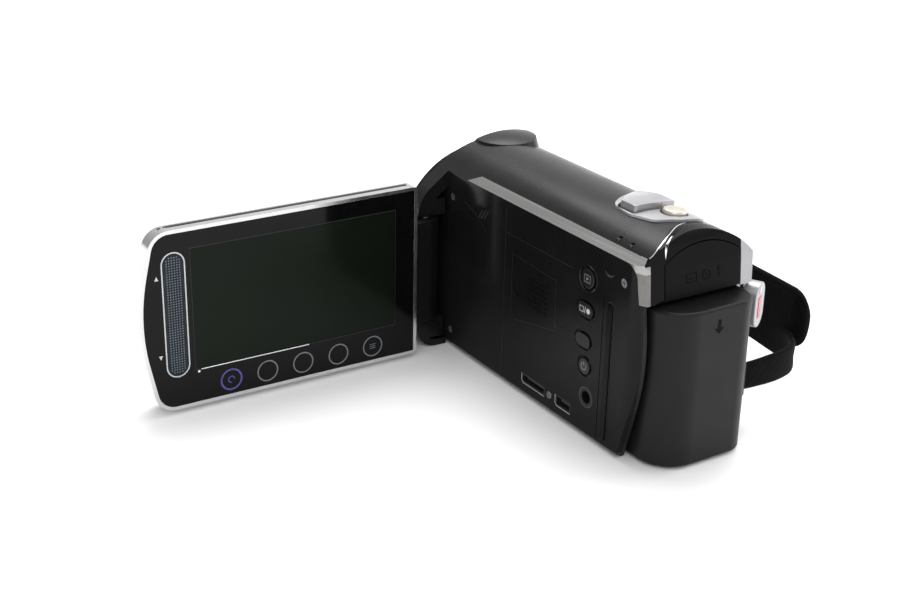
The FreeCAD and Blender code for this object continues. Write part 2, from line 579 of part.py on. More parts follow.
# ---------------------------------------------------------------- bay buttons
def bay_cutters():
    cutters = []
    dish = BAY_X - DISH[1]
    for y, z, radius in ROUND_BUTTONS.values():
        cutters.append(rod((10, y, z), (1, 0, 0), radius + BUTTON_GAP, 10))
        cutters.append(rod((dish, y, z), (1, 0, 0), radius + DISH[0], 2))
    for y, z, long, high in PILL_BUTTONS.values():
        cutters.append(pill(y, z, long, high, 10, 10, BUTTON_GAP))
        cutters.append(pill(y, z, long, high, dish, 2, DISH[0]))
    for y, z, radius in BAY_SCREWS:
        cutters.append(rod((BAY_X - 1.0, y, z), (1, 0, 0), radius, 3))
    cutters.append(rod((10, *JACK), (1, 0, 0), JACK_R[0], 10))
    for y, z, long, high in (WIDE_SOCKET, SMALL_SOCKET):
        cutters.append(box((10, 20), (y - long / 2, y + long / 2), (z - high / 2, z + high / 2)))
    cutters.append(prism(GRILLE, "yz", BAY_X - GRILLE_DEPTH, 20))
    cutters.append(box((10, 20), (11.6, 20.6), (27.2, 36.2)))
    cutters.append(pill(*RIB, BAY_X - 0.8, 2))
    y, low, high, width = BAY_GROOVE
    cutters.append(box((BAY_X - 0.4, 19), (y, y + width), (low, high)))
    return cutters


def screw_head(centre, axis, radius):
    """Flat head with a cross recess, sunk just under the surface."""
    head = rod(centre, axis, radius, 0.85)
    long = radius * 0.65
    if axis[0]:
        x, y, z = centre
        cross = box((x + 0.4, x + 2), (y - long, y + long), (z - 0.15, z + 0.15))
        return head.cut(cross).cut(box((x + 0.4, x + 2), (y - 0.15, y + 0.15), (z - long, z + long)))
    x, y, z = centre
    cross = box((x - long, x + long), (y - 0.2, y + 0.2), (z - 1, z + 0.45))
    return head.cut(cross).cut(box((x - 0.2, x + 0.2), (y - long, y + long), (z - 1, z + 0.45)))


def make_bay():
    for name, (y, z, radius) in ROUND_BUTTONS.items():
        cap = rod((BUTTON_BACK, y, z), (1, 0, 0), radius, BAY_X + BUTTON_PROUD - BUTTON_BACK)
        rim = [edge for edge in cap.Edges if edge.CenterOfMass.x > BAY_X]
        save(name, cap.makeFillet(0.3, rim).fuse(rod((15.3, y, z), (1, 0, 0), radius + 0.8, 0.6)))
    for name, (y, z, long, high) in PILL_BUTTONS.items():
        cap = pill(y, z, long, high, BUTTON_BACK, BAY_X + BUTTON_PROUD - BUTTON_BACK)
        save(name, cap.fuse(pill(y, z, long, high, 15.3, 0.6, 0.8)))
    heads = [screw_head((BAY_X - 1.0, y, z), (1, 0, 0), radius) for y, z, radius in BAY_SCREWS]
    heads += [screw_head((x, y, 0.15), (0, 0, 1), SCREW_R) for x, y in SCREW_PLACES]
    save("case_screws", Part.Compound(heads))
    plate = prism(GRILLE, "yz", BAY_X - GRILLE_DEPTH, BAY_X, 0.1)
    plate = plate.cut(rod((BAY_X - 0.3, 6.4, 30.3), (1, 0, 0), 1.7, 1))
    first_y, first_z, pitch, rows, radius = GRILLE_HOLES
    for i in range(rows):
        for j in range(rows):
            plate = plate.cut(rod((10, first_y + pitch * i, first_z + pitch * j), (1, 0, 0), radius, 10))
    save("speaker_grille", plate)
    save("bay_rib", pill(*RIB, BAY_X - 0.8, 1.1, -0.1))


# ---------------------------------------------------------------- top controls
def record_solid(half_long, half_wide, low, high):
    """Oval plug that faces rearwards and outwards."""
    radius = half_wide - 0.01
    corners = [(-half_wide, -half_long, radius), (half_wide, -half_long, radius),
               (half_wide, half_long, radius), (-half_wide, half_long, radius)]
    solid = prism(corners, "xz", low, high)
    solid.Placement = Placement(Vector(*RECORD), Rotation(Vector(0, 0, 1), RECORD_TURN))
    return solid


def record_well():
    return record_solid(RECORD_SIZE[0] + 0.3, RECORD_SIZE[1] + 0.3, -4.2, 8.0)


def make_controls():
    plate = roof_layer(*PLATE).common(prism(CONTROL_PLAN, "xy", 40, 70))
    plate = plate.cut(lever_prism(-5, 5, LEVER_GAP)).cut(snap_hole(SNAP[2] + SNAP_GAP))
    save("control_plate", turned(largest(plate)))
    top = ROOF_C[1] + ROOF_R
    hollow = rod((ROOF_C[0] - 20, LEVER_PIVOT, top + THUMB_DISH[1]), (1, 0, 0), THUMB_DISH[0], 40)
    lever = lever_prism(*LEVER_LAYER).cut(hollow)
    stem = rod((ROOF_C[0], LEVER_PIVOT, top - 5.0), (0, 0, 1), 1.2, 4.0)
    save("zoom_lever", turned(lever.fuse(stem).removeSplitter()))
    cap = rod((SNAP[0], SNAP[1], top - 1.0), (0, 0, 1), SNAP[2], 2.6)
    rim = [edge for edge in cap.Edges if edge.CenterOfMass.z > top + 1.5]
    cap = cap.makeFillet(0.7, rim)
    save("snapshot_button", turned(cap.fuse(rod((SNAP[0], SNAP[1], top - 3.4), (0, 0, 1), 1.4, 2.6))))
    save("control_board", turned(box((-4.4, 5.4), (28.4, 46.8), (top - 7.0, top - 5.4))))
    lights = []
    for x, y in LIGHTS:
        level = ROOF_C[1] + math.sqrt(ROOF_R ** 2 - (x - ROOF_C[0]) ** 2)
        lights.append(rod((x, y, level - 2.0), (0, 0, 1), LIGHT_R - PIN_GAP, 2.0))
    save("status_lights", Part.Compound(lights))
    body = record_solid(*RECORD_SIZE, -1.5, 2.4)
    save("record_button", body.fuse(record_solid(1.6, 1.5, -2.9, -1.5)))


# ---------------------------------------------------------------- screen
def panel_outline(near_radius, far_radius):
    return [(PANEL_X, PANEL_Z[0], near_radius), (PANEL_X, PANEL_Z[1], near_radius),
            (109.5, PANEL_Z[1], far_radius), (PANEL_TIP, 28.0, 60), (109.8, PANEL_Z[0], far_radius)]


def tapered(corners, front, back, inset):
    """Slab whose rear outline is smaller than its front one."""
    near = outline(corners, "xz").OuterWire
    far = outline(corners, "xz").makeOffset2D(-inset).OuterWire
    near.translate(Vector(0, front, 0))
    far.translate(Vector(0, back, 0))
    return Part.makeLoft([near, far], True, True)


def make_panel():
    back_y, glass_y = PANEL_Y
    rim = panel_outline(1.2, 6)
    soft = panel_outline(4, 8)
    frame = prism(rim, "xz", PANEL_SPLIT, glass_y)
    frame = frame.cut(prism(rim, "xz", -28.2, glass_y + 1, 1.0))
    frame = frame.cut(box((PANEL_X + 4, 104), (-31, -27), (PANEL_Z[0] + 4, PANEL_Z[1] - 4)))
    shaft_hole = rod((PANEL_X - 1, *TILT), (1, 0, 0), TILT_R, 9)
    save("panel_frame", frame.cut(shaft_hole))
    whole = tapered(soft, PANEL_SPLIT, back_y, BACK_TAPER)
    hollow = tapered(soft, PANEL_SPLIT + 0.1, back_y + 1.4, BACK_TAPER)
    hollow = hollow.common(prism(soft, "xz", back_y, PANEL_SPLIT, 2.0 + BACK_TAPER))
    thumb = rod((THUMB[0], -40, THUMB[1]), (0, 1, 0), THUMB[2], 20)
    far_end = box((CAP_X + 0.05, 120), (-40, -20), (0, 60))
    back = whole.cut(hollow).cut(box((CAP_X, 120), (-40, -20), (0, 60)))
    save("panel_back", largest(back.cut(shaft_hole)))
    save("panel_end_cap", largest(whole.common(far_end).cut(thumb)))
    glass = prism(rim, "xz", -26.6, glass_y - 0.1, 1.1)
    save("panel_glass", glass.cut(box(SCREEN[:2], (-30, -20), SCREEN[2:])))
    save("screen", box((SCREEN[0] + 0.05, SCREEN[1] - 0.05), (-26.6, glass_y - 0.16),
                       (SCREEN[2] + 0.05, SCREEN[3] - 0.05)))
    save("panel_board", box((42, 95), (-32.4, -31.2), (10, 42)))


def make_hinge():
    x, y = HINGE
    block = rod((x, y, HINGE_Z[0]), (0, 0, 1), HINGE_R, HINGE_Z[1] - HINGE_Z[0])
    block = block.fuse(box(HINGE_BLOCK[:2], HINGE_BLOCK[2:], HINGE_Z)).removeSplitter()
    for low, length in ((HINGE_Z[0] - 1, 4.0), (HINGE_Z[1] - 3.0, 4.0)):
        block = block.cut(rod((x, y, low), (0, 0, 1), HINGE_PIN_R + PIN_GAP, length))
    save("hinge_block", block.cut(rod((x - 0.5, *TILT), (1, 0, 0), TILT_R + PIN_GAP, 9)))
    save("hinge_pins", Part.Compound([rod((x, y, low), (0, 0, 1), HINGE_PIN_R, 6.0) for low in (7.0, 38.0)]))
    save("tilt_shaft", rod((x - 0.3, *TILT), (1, 0, 0), TILT_R, PANEL_X + 8.3 - x))


# ---------------------------------------------------------------- battery
def make_battery():
    solid = prism(BATTERY_PLAN, "xy", *BATTERY_Z)
    ends = [edge for edge in solid.Edges if min(abs(edge.CenterOfMass.z - level) for level in BATTERY_Z) < 0.01]
    solid = solid.makeFillet(0.8, ends)
    hollow = prism(BATTERY_PLAN, "xy", BATTERY_Z[0] + 1.6, BATTERY_Z[1] - 1.6, BATTERY_WALL)
    solid = solid.cut(hollow.common(box((-FAR, FAR), (CELL_Y - 3.0, 70), (0, 60))))
    for x in (-PEG_X, PEG_X):
        solid = solid.cut(rod((x, REAR_Y, PEG_Z), (0, 1, 0), PEG_R + 0.3, 6.0))
    save("battery_case", solid.cut(box((-5.2, 5.2), (43.0, 44.5), (29.4, 36.6))))
    cells = prism(BATTERY_PLAN, "xy", BATTERY_Z[0] + 2.6, BATTERY_Z[1] - 2.6, BATTERY_WALL + 0.3)
    cells = cells.common(box((-FAR, FAR), (CELL_Y, 70), (0, 60)))
    save("battery_cells", cells.cut(box((-0.4, 0.4), (40, 70), (0, 60))))


# ---------------------------------------------------------------- underside
def base_cutters():
    door = box(DOOR[:2], DOOR[2:], (-1, 5))
    slot = box((LATCH[0] - 0.3, LATCH[0] + LATCH[2] + 3.3), (LATCH[1] - 0.3, LATCH[1] + LATCH[3] + 0.3), (-1, 5))
    socket = rod((0, 0, -1), (0, 0, 1), 5.0, 5)
    locator = rod((0, BOSS[0], -1), (0, 0, 1), BOSS[1], BOSS[2] + 1)
    return [door, slot, socket, locator] + [rod((x, y, -1), (0, 0, 1), SCREW_R, 2.0) for x, y in SCREW_PLACES]


def make_underside():
    x0, x1, y0, y1 = DOOR
    door = box((x0 + 0.2, x1 - 0.2), (y0 + 0.3, y1 - 0.55), (0.1, 1.5))
    door = door.cut(box((-4, 4), (y0, y0 + 1.6), (-1, 0.6)))
    save("card_door", door.fuse(rod((x0 + 0.2, y1 - 0.6, 0.6), (1, 0, 0), 0.45, x1 - x0 - 0.4)))
    x, y, long, wide = LATCH
    latch = box((x, x + long), (y, y + wide), (0.3, 1.7))
    latch = latch.fuse(box((x + 3, x + 9), (y + 0.4, y + wide - 0.4), (0.3, 2.6)))
    for i in range(5):
        groove = x + 3.0 + 1.4 * i
        latch = latch.cut(box((groove, groove + 0.6), (y - 1, y + 5), (0, 0.7)))
    save("battery_latch", latch)


# ---------------------------------------------------------------- hand strap
def strap_layer(near, far, low, high):
    """Band between two depths inside the outer line of the strap."""
    outer = prism(STRAP_PATH, "xy", low, high, near)
    inner = prism(STRAP_PATH, "xy", low - 1, high + 1, far)
    return outer.cut(inner).common(box((-70, LUG_X), (-50, 58), (low, high)))


def make_strap():
    pad = largest(strap_layer(0.0, STRAP_T, *PAD_Z).common(box((-70, -30), PAD_Y, (0, 60))))
    upright = [edge for edge in pad.Edges if abs(edge.CenterOfMass.y - PAD_Y[1]) < 0.01
               and min(abs(edge.CenterOfMass.z - level) for level in PAD_Z) < 0.01]
    save("strap_pad", pad.makeFillet(7.0, upright))
    low, high = REAR_WEB_Z
    rear = prism(WEB_PATH, "xy", low, high).cut(prism(WEB_PATH, "xy", low - 1, high + 1, WEB_T))
    rear = rear.common(box((-70, LUG_X), (38, 60), (low, high)))
    front = strap_layer(*WEB_DEPTH, *FRONT_WEB_Z).common(box((-70, -20), (-50, PAD_Y[0]), (0, 60)))
    save("strap_webbing", Part.Compound([largest(rear), largest(front)]))
    body = body_form(-PIN_GAP)
    rear = box((LUG_X, -19.0), (48.6, 53.4), (low - 1, high + 1), 1.2, Vector(0, 0, 1)).cut(body)
    low, high = FRONT_WEB_Z
    front = box((LUG_X, -22.0), (-34.4, -26.6), (low - 1.5, high + 1.5), 1.2, Vector(0, 0, 1)).cut(body)
    save("strap_lugs", Part.Compound([largest(rear), largest(front)]))


# ---------------------------------------------------------------- build
def main():
    os.makedirs("parts", exist_ok=True)
    make_casing()
    make_front()
    make_optics()
    make_electronics()
    make_bay()
    make_controls()
    make_panel()
    make_hinge()
    make_battery()
    make_underside()
    make_strap()
    for name, shape in nodes.items():
        shape.exportStep(f"parts/{name}.step")
        limits = shape.BoundBox
        print(f"{name:18s} {len(shape.Solids):3d} {shape.isValid()} {shape.Volume:9.1f}"
              f"  X {limits.XMin:7.2f} {limits.XMax:7.2f}  Y {limits.YMin:7.2f} {limits.YMax:7.2f}"
              f"  Z {limits.ZMin:7.2f} {limits.ZMax:7.2f}")


main()
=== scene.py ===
"""Looks for the compact camcorder: finishes, small moulded detail, printed marks and the hand strap.

Metres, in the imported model's own frame: the lens looks along -Y, the screen opens to +X, +Z is up.
"""
import json
import math

import bmesh
import bpy
from mathutils import Matrix, Vector, noise
from mathutils.bvhtree import BVHTree


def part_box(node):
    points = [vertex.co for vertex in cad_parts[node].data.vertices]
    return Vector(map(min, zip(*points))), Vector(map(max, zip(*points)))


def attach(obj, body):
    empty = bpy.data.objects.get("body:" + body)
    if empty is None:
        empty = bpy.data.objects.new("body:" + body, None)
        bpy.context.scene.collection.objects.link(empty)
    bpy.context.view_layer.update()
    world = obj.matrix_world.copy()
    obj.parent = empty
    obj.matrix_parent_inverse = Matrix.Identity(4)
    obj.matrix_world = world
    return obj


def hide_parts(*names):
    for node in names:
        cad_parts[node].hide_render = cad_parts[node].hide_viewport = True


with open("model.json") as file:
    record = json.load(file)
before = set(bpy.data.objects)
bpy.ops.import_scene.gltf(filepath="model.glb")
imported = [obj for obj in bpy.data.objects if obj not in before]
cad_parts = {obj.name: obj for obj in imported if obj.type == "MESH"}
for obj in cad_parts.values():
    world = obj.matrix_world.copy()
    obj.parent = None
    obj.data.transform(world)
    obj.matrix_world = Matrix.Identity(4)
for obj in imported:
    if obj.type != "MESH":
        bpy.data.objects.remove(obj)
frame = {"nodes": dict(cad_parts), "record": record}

MM = 0.001
BODY_OF = {node: body for body, members in frame["record"]["behaviour"]["bodies"].items() for node in members}
SLOT_OF = {part["node"]: part["material_slot"] for part in frame["record"]["subparts"]}
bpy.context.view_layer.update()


def low(node):
    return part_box(node)[0]


def high(node):
    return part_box(node)[1]


# ---------------------------------------------------------------- stage, light and camera
def make_stage():
    """Seamless pale floor."""
    mesh = bpy.data.meshes.new("floor")
    reach = 3.0
    corners = [(-reach, -reach, 0), (reach, -reach, 0), (reach, reach, 0), (-reach, reach, 0)]
    mesh.from_pydata([Vector(c) for c in corners], [], [(0, 1, 2, 3)])
    floor = bpy.data.objects.new("floor", mesh)
    bpy.context.scene.collection.objects.link(floor)
    paint = bpy.data.materials.new("floor_white")
    paint.use_nodes = True
    shader = paint.node_tree.nodes["Principled BSDF"]
    shader.inputs["Base Color"].default_value = (0.93, 0.93, 0.935, 1)
    shader.inputs["Roughness"].default_value = 0.85
    shader.inputs["Specular IOR Level"].default_value = 0.15
    mesh.materials.append(paint)


def area_light(name, place, target, size, power, tall=None):
    lamp = bpy.data.lights.new(name, "AREA")
    lamp.energy = power
    lamp.size = size
    if tall:
        lamp.shape = "RECTANGLE"
        lamp.size_y = tall
    holder = bpy.data.objects.new(name, lamp)
    holder.location = place
    holder.rotation_euler = (Vector(target) - Vector(place)).to_track_quat("-Z", "Y").to_euler()
    bpy.context.scene.collection.objects.link(holder)


def make_light():
    world = bpy.data.worlds.new("studio")
    bpy.context.scene.world = world
    world.use_nodes = True
    back = world.node_tree.nodes["Background"]
    back.inputs["Color"].default_value = (1.0, 1.0, 1.0, 1)
    nodes, links = world.node_tree.nodes, world.node_tree.links
    place = nodes.new("ShaderNodeTexCoord")
    toward = nodes.new("ShaderNodeVectorMath")
    toward.operation = "DOT_PRODUCT"
    toward.inputs[1].default_value = DARK_SIDE
    shade = nodes.new("ShaderNodeMapRange")
    for socket, value in zip(("From Min", "From Max", "To Min", "To Max"), DARK_FADE):
        shade.inputs[socket].default_value = value
    links.new(place.outputs["Generated"], toward.inputs[0])
    links.new(toward.outputs["Value"], shade.inputs["Value"])
    links.new(shade.outputs["Result"], back.inputs["Strength"])
    area_light("overhead", (-0.25, -0.35, 0.95), (0, 0, 0.02), 0.8, 10.0)
    area_light("rear_fill", (0.55, 0.75, 0.75), (0.02, 0, 0.03), 0.6, 3.0)
    area_light("side_card", (-0.8, 0.25, 0.45), (-0.02, 0, 0.03), 0.5, 2.5)
    bpy.context.scene.view_settings.view_transform = "Standard"


def make_camera():
    """Three-quarter view from behind and to the left, slightly above, with a short telephoto."""
    heading, pitch, roll = (math.radians(angle) for angle in VIEW_TURNS)
    forward = Vector((math.sin(heading) * math.cos(pitch), -math.cos(heading) * math.cos(pitch),
                      -math.sin(pitch)))
    level = Vector((-math.cos(heading), -math.sin(heading), 0))
    upright = level.cross(forward)
    right = level * math.cos(roll) + upright * math.sin(roll)
    up = upright * math.cos(roll) - level * math.sin(roll)
    lens = bpy.data.cameras.new("camera")
    lens.sensor_width = 36.0
    lens.lens = VIEW_LENS
    lens.clip_start = 0.01
    holder = bpy.data.objects.new("camera", lens)
    turn = Matrix((right, up, -forward)).transposed().to_4x4()
    holder.matrix_world = Matrix.Translation(VIEW_PLACE) @ turn
    bpy.context.scene.collection.objects.link(holder)
    bpy.context.scene.camera = holder


# ---------------------------------------------------------------- materials
class Finish:
    """A Principled material built from object-space noise, so it needs no UVs."""

    def __init__(self, name, colour, rough, metal=0.0, **sockets):
        self.mat = bpy.data.materials.new(name)
        self.mat.use_nodes = True
        self.tree = self.mat.node_tree
        self.bsdf = self.tree.nodes["Principled BSDF"]
        self.bsdf.inputs["Base Color"].default_value = (*colour, 1)
        self.bsdf.inputs["Roughness"].default_value = rough
        self.bsdf.inputs["Metallic"].default_value = metal
        for socket, value in sockets.items():
            self.bsdf.inputs[socket.replace("_", " ")].default_value = value
        self.colour, self.rough = colour, rough
        self.height = None

    def node(self, kind, **values):
        made = self.tree.nodes.new(kind)
        for key, value in values.items():
            if key in made.inputs:
                made.inputs[key].default_value = value
            else:
                setattr(made, key, value)
        return made

    def link(self, source, target):
        self.tree.links.new(source, target)

    def coords(self, stretch=(1, 1, 1)):
        place = self.node("ShaderNodeTexCoord")
        mapping = self.node("ShaderNodeMapping")
        mapping.inputs["Scale"].default_value = stretch
        self.link(place.outputs["Object"], mapping.inputs["Vector"])
        return mapping.outputs["Vector"]

    def noise(self, scale, detail=3.0, stretch=(1, 1, 1)):
        made = self.node("ShaderNodeTexNoise", Scale=scale, Detail=detail)
        self.link(self.coords(stretch), made.inputs["Vector"])
        return made.outputs["Fac"]

    def spread(self, source, bottom, top, start=0.3, stop=0.7):
        ramp = self.node("ShaderNodeMapRange")
        ramp.inputs["From Min"].default_value = start
        ramp.inputs["From Max"].default_value = stop
        ramp.inputs["To Min"].default_value = bottom
        ramp.inputs["To Max"].default_value = top
        self.link(source, ramp.inputs["Value"])
        return ramp.outputs["Result"]

    def mottle(self, scale, amount, stretch=(1, 1, 1)):
        """Slow change of shade over the surface."""
        mix = self.node("ShaderNodeMix", data_type="RGBA")
        tone = self.spread(self.noise(scale, 4.0, stretch), 0.0, 1.0)
        self.link(tone, mix.inputs[0])
        mix.inputs[6].default_value = (*[c * (1 - amount) for c in self.colour], 1)
        mix.inputs[7].default_value = (*[min(1, c * (1 + amount)) for c in self.colour], 1)
        self.link(mix.outputs[2], self.bsdf.inputs["Base Color"])
        return self

    def smudge(self, scale, amount, stretch=(1, 1, 1)):
        """Handling marks: roughness that drifts up and down."""
        tone = self.spread(self.noise(scale, 5.0, stretch), self.rough - amount, self.rough + amount)
        self.link(tone, self.bsdf.inputs["Roughness"])
        return self

    def grain(self, scale, depth, detail=2.0, stretch=(1, 1, 1)):
        """Fine raised grain; calls add up."""
        bump = self.node("ShaderNodeBump", Strength=1.0, Distance=depth)
        self.link(self.noise(scale, detail, stretch), bump.inputs["Height"])
        if self.height:
            self.link(self.height, bump.inputs["Normal"])
        self.height = bump.outputs["Normal"]
        self.link(self.height, self.bsdf.inputs["Normal"])
        return self

    def along(self, axis):
        """Position along one axis of the piece, in metres."""
        place = self.node("ShaderNodeTexCoord")
        split = self.node("ShaderNodeSeparateXYZ")
        self.link(place.outputs["Object"], split.inputs[0])
        return split.outputs[axis]

    def faded(self, axis, start, stop, first, last):
        """Roughness that changes from one end of the piece to the other."""
        self.link(self.spread(self.along(axis), first, last, start, stop), self.bsdf.inputs["Roughness"])
        return self

    def zoned(self, axis, zones):
        """Bands of colour from the given heights upwards."""
        ramp = self.node("ShaderNodeValToRGB")
        top = 0.07
        ramp.color_ramp.interpolation = "CONSTANT"
        for i, (level, colour) in enumerate(zones):
            stop = ramp.color_ramp.elements[i] if i < 2 else ramp.color_ramp.elements.new(level / top)
            stop.position = level / top
            stop.color = (*colour, 1)
        self.link(self.spread(self.along(axis), 0.0, 1.0, 0.0, top), ramp.inputs["Fac"])
        self.link(ramp.outputs["Color"], self.bsdf.inputs["Base Color"])
        return self

    def woven(self, pitch, depth):
        """Fine diagonal weave."""
        bump = self.node("ShaderNodeBump", Strength=1.0, Distance=depth)
        thread = self.node("ShaderNodeTexWave", Scale=1.0 / pitch / 6.283, Distortion=0.6)
        thread.bands_direction = "DIAGONAL"
        self.link(self.coords((1, 1, 1)), thread.inputs["Vector"])
        self.link(thread.outputs["Fac"], bump.inputs["Height"])
        self.height = bump.outputs["Normal"]
        self.link(self.height, self.bsdf.inputs["Normal"])
        return self


def make_finishes():
    made = {}
    made["charcoal"] = Finish("charcoal", (0.0055, 0.0058, 0.0065), 0.26, Specular_IOR_Level=0.23).mottle(
        60, 0.12).smudge(90, 0.04).grain(5200, 0.000012)
    made["cap_black"] = Finish("cap_black", (0.002, 0.002, 0.0024), 0.34, Specular_IOR_Level=0.08).mottle(
        60, 0.15).smudge(90, 0.04).grain(5200, 0.00001)
    made["bay_black"] = Finish("bay_black", (0.0078, 0.0078, 0.0084), 0.2, Specular_IOR_Level=0.1).faded(
        "Z", 0.008, 0.036, 0.55, 0.14).mottle(40, 0.3).grain(4000, 0.000004)
    made["flank_black"] = Finish("flank_black", (0.0085, 0.0085, 0.009), 0.46,
                                 Specular_IOR_Level=0.35).mottle(
        70, 0.12).grain(3800, 0.00002)
    # silver trim: colour painted darker below 52.2 mm, on the trim's lower leg, as painted shade on one
    # moulding
    made["silver_trim"] = Finish("silver_trim", (0.35, 0.346, 0.34), 0.26, 1.0).zoned(
        "Z", ((0.0, (0.17, 0.166, 0.156)), (0.0522, (0.35, 0.346, 0.34)))).smudge(
        900, 0.08, (1, 0.02, 1)).grain(6000, 0.000008, 2.0, (1, 0.02, 1))
    made["silver_paint"] = Finish("silver_paint", (0.36, 0.36, 0.375), 0.34, 0.55, Coat_Weight=0.2).mottle(
        80, 0.05).grain(9000, 0.000006)
    made["bezel_silver"] = Finish("bezel_silver", (0.6, 0.6, 0.61), 0.22, 0.9).smudge(150, 0.05).mottle(
        90, 0.04)
    made["front_black"] = Finish("front_black", (0.0018, 0.0018, 0.0022), 0.09,
                                 Specular_IOR_Level=0.08).smudge(
        200, 0.03).mottle(80, 0.2).grain(60, 0.00001)
    made["ring_metal"] = Finish("ring_metal", (0.3, 0.3, 0.31), 0.3, 1.0).smudge(400, 0.08).mottle(200, 0.05)
    made["barrel_black"] = Finish("barrel_black", (0.008, 0.008, 0.008), 0.75).mottle(200, 0.2).grain(
        4000, 0.00002)
    made["optical_glass"] = Finish("optical_glass", (0.55, 0.62, 0.75), 0.02, 0.0, Transmission_Weight=0.85,
                                   IOR=1.6).smudge(60, 0.01)
    made["lamp_window"] = Finish("lamp_window", (0.75, 0.77, 0.74), 0.3, 0.0, Transmission_Weight=0.5).grain(
        1500, 0.00004)
    made["board_green"] = Finish("board_green", (0.02, 0.11, 0.04), 0.35).mottle(500, 0.3).grain(900, 0.00003)
    made["steel"] = Finish("steel", (0.75, 0.75, 0.76), 0.34, 0.55).smudge(500, 0.1).mottle(300, 0.06)
    made["socket_metal"] = Finish("socket_metal", (0.05, 0.048, 0.044), 0.4, 0.7).smudge(500, 0.1).mottle(
        300, 0.1)
    made["screw_metal"] = Finish("screw_metal", (0.34, 0.34, 0.35), 0.36, 0.8).smudge(500, 0.1).mottle(
        300, 0.1)
    made["jack_black"] = Finish("jack_black", (0.006, 0.006, 0.0065), 0.45, Specular_IOR_Level=0.25).mottle(
        200, 0.15).grain(3000, 0.00001)
    made["brass_nut"] = Finish("brass_nut", (0.5, 0.44, 0.3), 0.3, 1.0).smudge(300, 0.08).mottle(200, 0.08)
    made["key_black"] = Finish("key_black", (0.006, 0.006, 0.0065), 0.28, Specular_IOR_Level=0.3).mottle(
        200, 0.12).grain(4200, 0.00001)
    made["snap_silver"] = Finish("snap_silver", (0.62, 0.57, 0.48), 0.3, 0.7).mottle(150, 0.05).smudge(
        300, 0.05)
    made["light_pipe"] = Finish("light_pipe", (0.006, 0.007, 0.006), 0.2).mottle(400, 0.1).smudge(300, 0.05)
    made["panel_silver"] = Finish("panel_silver", (0.66, 0.66, 0.67), 0.17, 1.0).smudge(200, 0.05).mottle(
        120, 0.04)
    made["panel_dark"] = Finish("panel_dark", (0.007, 0.0075, 0.0095), 0.14, Specular_IOR_Level=0.5).smudge(
        100, 0.05).mottle(60, 0.1).grain(60, 0.00002)
    made["pearl"] = Finish("pearl", (0.6, 0.61, 0.6), 0.25, 0.1, Coat_Weight=0.3).zoned(
        "Z", ((0.0, (0.10, 0.115, 0.11)),
              (0.011, (0.56, 0.57, 0.56)), (0.0455, (0.035, 0.05, 0.052)))).smudge(
        200, 0.05)
    made["panel_glass"] = Finish("panel_glass", (0.0022, 0.0022, 0.0026), 0.06,
                                 Specular_IOR_Level=0.16).smudge(
        80, 0.02).mottle(100, 0.15)
    made["display"] = Finish("display", (0.004, 0.0068, 0.0037), 0.12, Specular_IOR_Level=0.1).mottle(
        14, 0.15).smudge(90, 0.03)
    made["hinge_black"] = Finish("hinge_black", (0.0035, 0.0035, 0.0038), 0.38,
                                 Specular_IOR_Level=0.2).mottle(
        100, 0.15).grain(3500, 0.00001)
    made["battery_grey"] = Finish("battery_grey", (0.0058, 0.0058, 0.0066), 0.4,
                                  Specular_IOR_Level=0.2).mottle(
        70, 0.1).smudge(120, 0.05).grain(4600, 0.00002)
    made["cell_wrap"] = Finish("cell_wrap", (0.05, 0.09, 0.3), 0.3).mottle(90, 0.1).smudge(200, 0.06)
    made["strap_fabric"] = Finish("strap_fabric", (0.0013, 0.0013, 0.0015), 0.95, Specular_IOR_Level=0.08,
                                  Sheen_Weight=0.03, Sheen_Roughness=0.5).mottle(600, 0.5).grain(
                                      2600, 0.00012, 4.0)
    made["web_fabric"] = Finish("web_fabric", (0.0014, 0.0014, 0.0016), 0.9, Specular_IOR_Level=0.08,
                                Sheen_Weight=0.03).mottle(900, 0.4).woven(0.0008, 0.00003)
    return {name: finish.mat for name, finish in made.items()}


def make_prints():
    """Inks, thin metal lines, small lights and painted highlights laid on other surfaces."""
    made = {
        "print_white": Finish("print_white", (0.55, 0.56, 0.56), 0.6).mottle(900, 0.1),
        "print_grey": Finish("print_grey", (0.22, 0.225, 0.23), 0.5).mottle(900, 0.12),
        "key_grey": Finish("key_grey", (0.13, 0.14, 0.155), 0.4).mottle(900, 0.15),
        "key_blue": Finish("key_blue", (0.055, 0.05, 0.24), 0.4).mottle(700, 0.3),
        "dot_blue": Finish("dot_blue", (0.11, 0.14, 0.17), 0.4).mottle(500, 0.25),
        "slider_back": Finish("slider_back", (0.008, 0.013, 0.017), 0.3,
                              Specular_IOR_Level=0.2).mottle(300, 0.3),
        "seam_dark": Finish("seam_dark", (0.012, 0.012, 0.016), 0.3, Specular_IOR_Level=0.3).mottle(300, 0.2),
        # painted highlight: bright metal laid where reflections fall on the display edge and the gloss band
        "painted_highlight": Finish("painted_highlight", (0.8, 0.8, 0.82), 0.12, 0.9).smudge(500, 0.05),
        "line_silver": Finish("line_silver", (0.5, 0.5, 0.51), 0.3, 0.8).smudge(700, 0.06),
        "line_grey": Finish("line_grey", (0.05, 0.05, 0.053), 0.3, Specular_IOR_Level=0.35).smudge(700, 0.06),
        "faint_line": Finish("faint_line", (0.02, 0.02, 0.022), 0.4,
                             Specular_IOR_Level=0.25).smudge(500, 0.06),
        "emboss": Finish("emboss", (0.0014, 0.0014, 0.0016), 0.5,
                         Specular_IOR_Level=0.06).mottle(200, 0.2).grain(
            3000, 0.00002),
        "red": Finish("red", (0.5, 0.012, 0.016), 0.3, Coat_Weight=0.4).mottle(600, 0.12),
    }
    return {name: finish.mat for name, finish in made.items()}


def finish_of(node):
    return finishes[OWN_FINISH.get(node, SLOT_OF[node])]


def paint_nodes():
    for name, node in frame["nodes"].items():
        mat = finish_of(name)
        node.data.materials.clear()
        node.data.materials.append(mat)


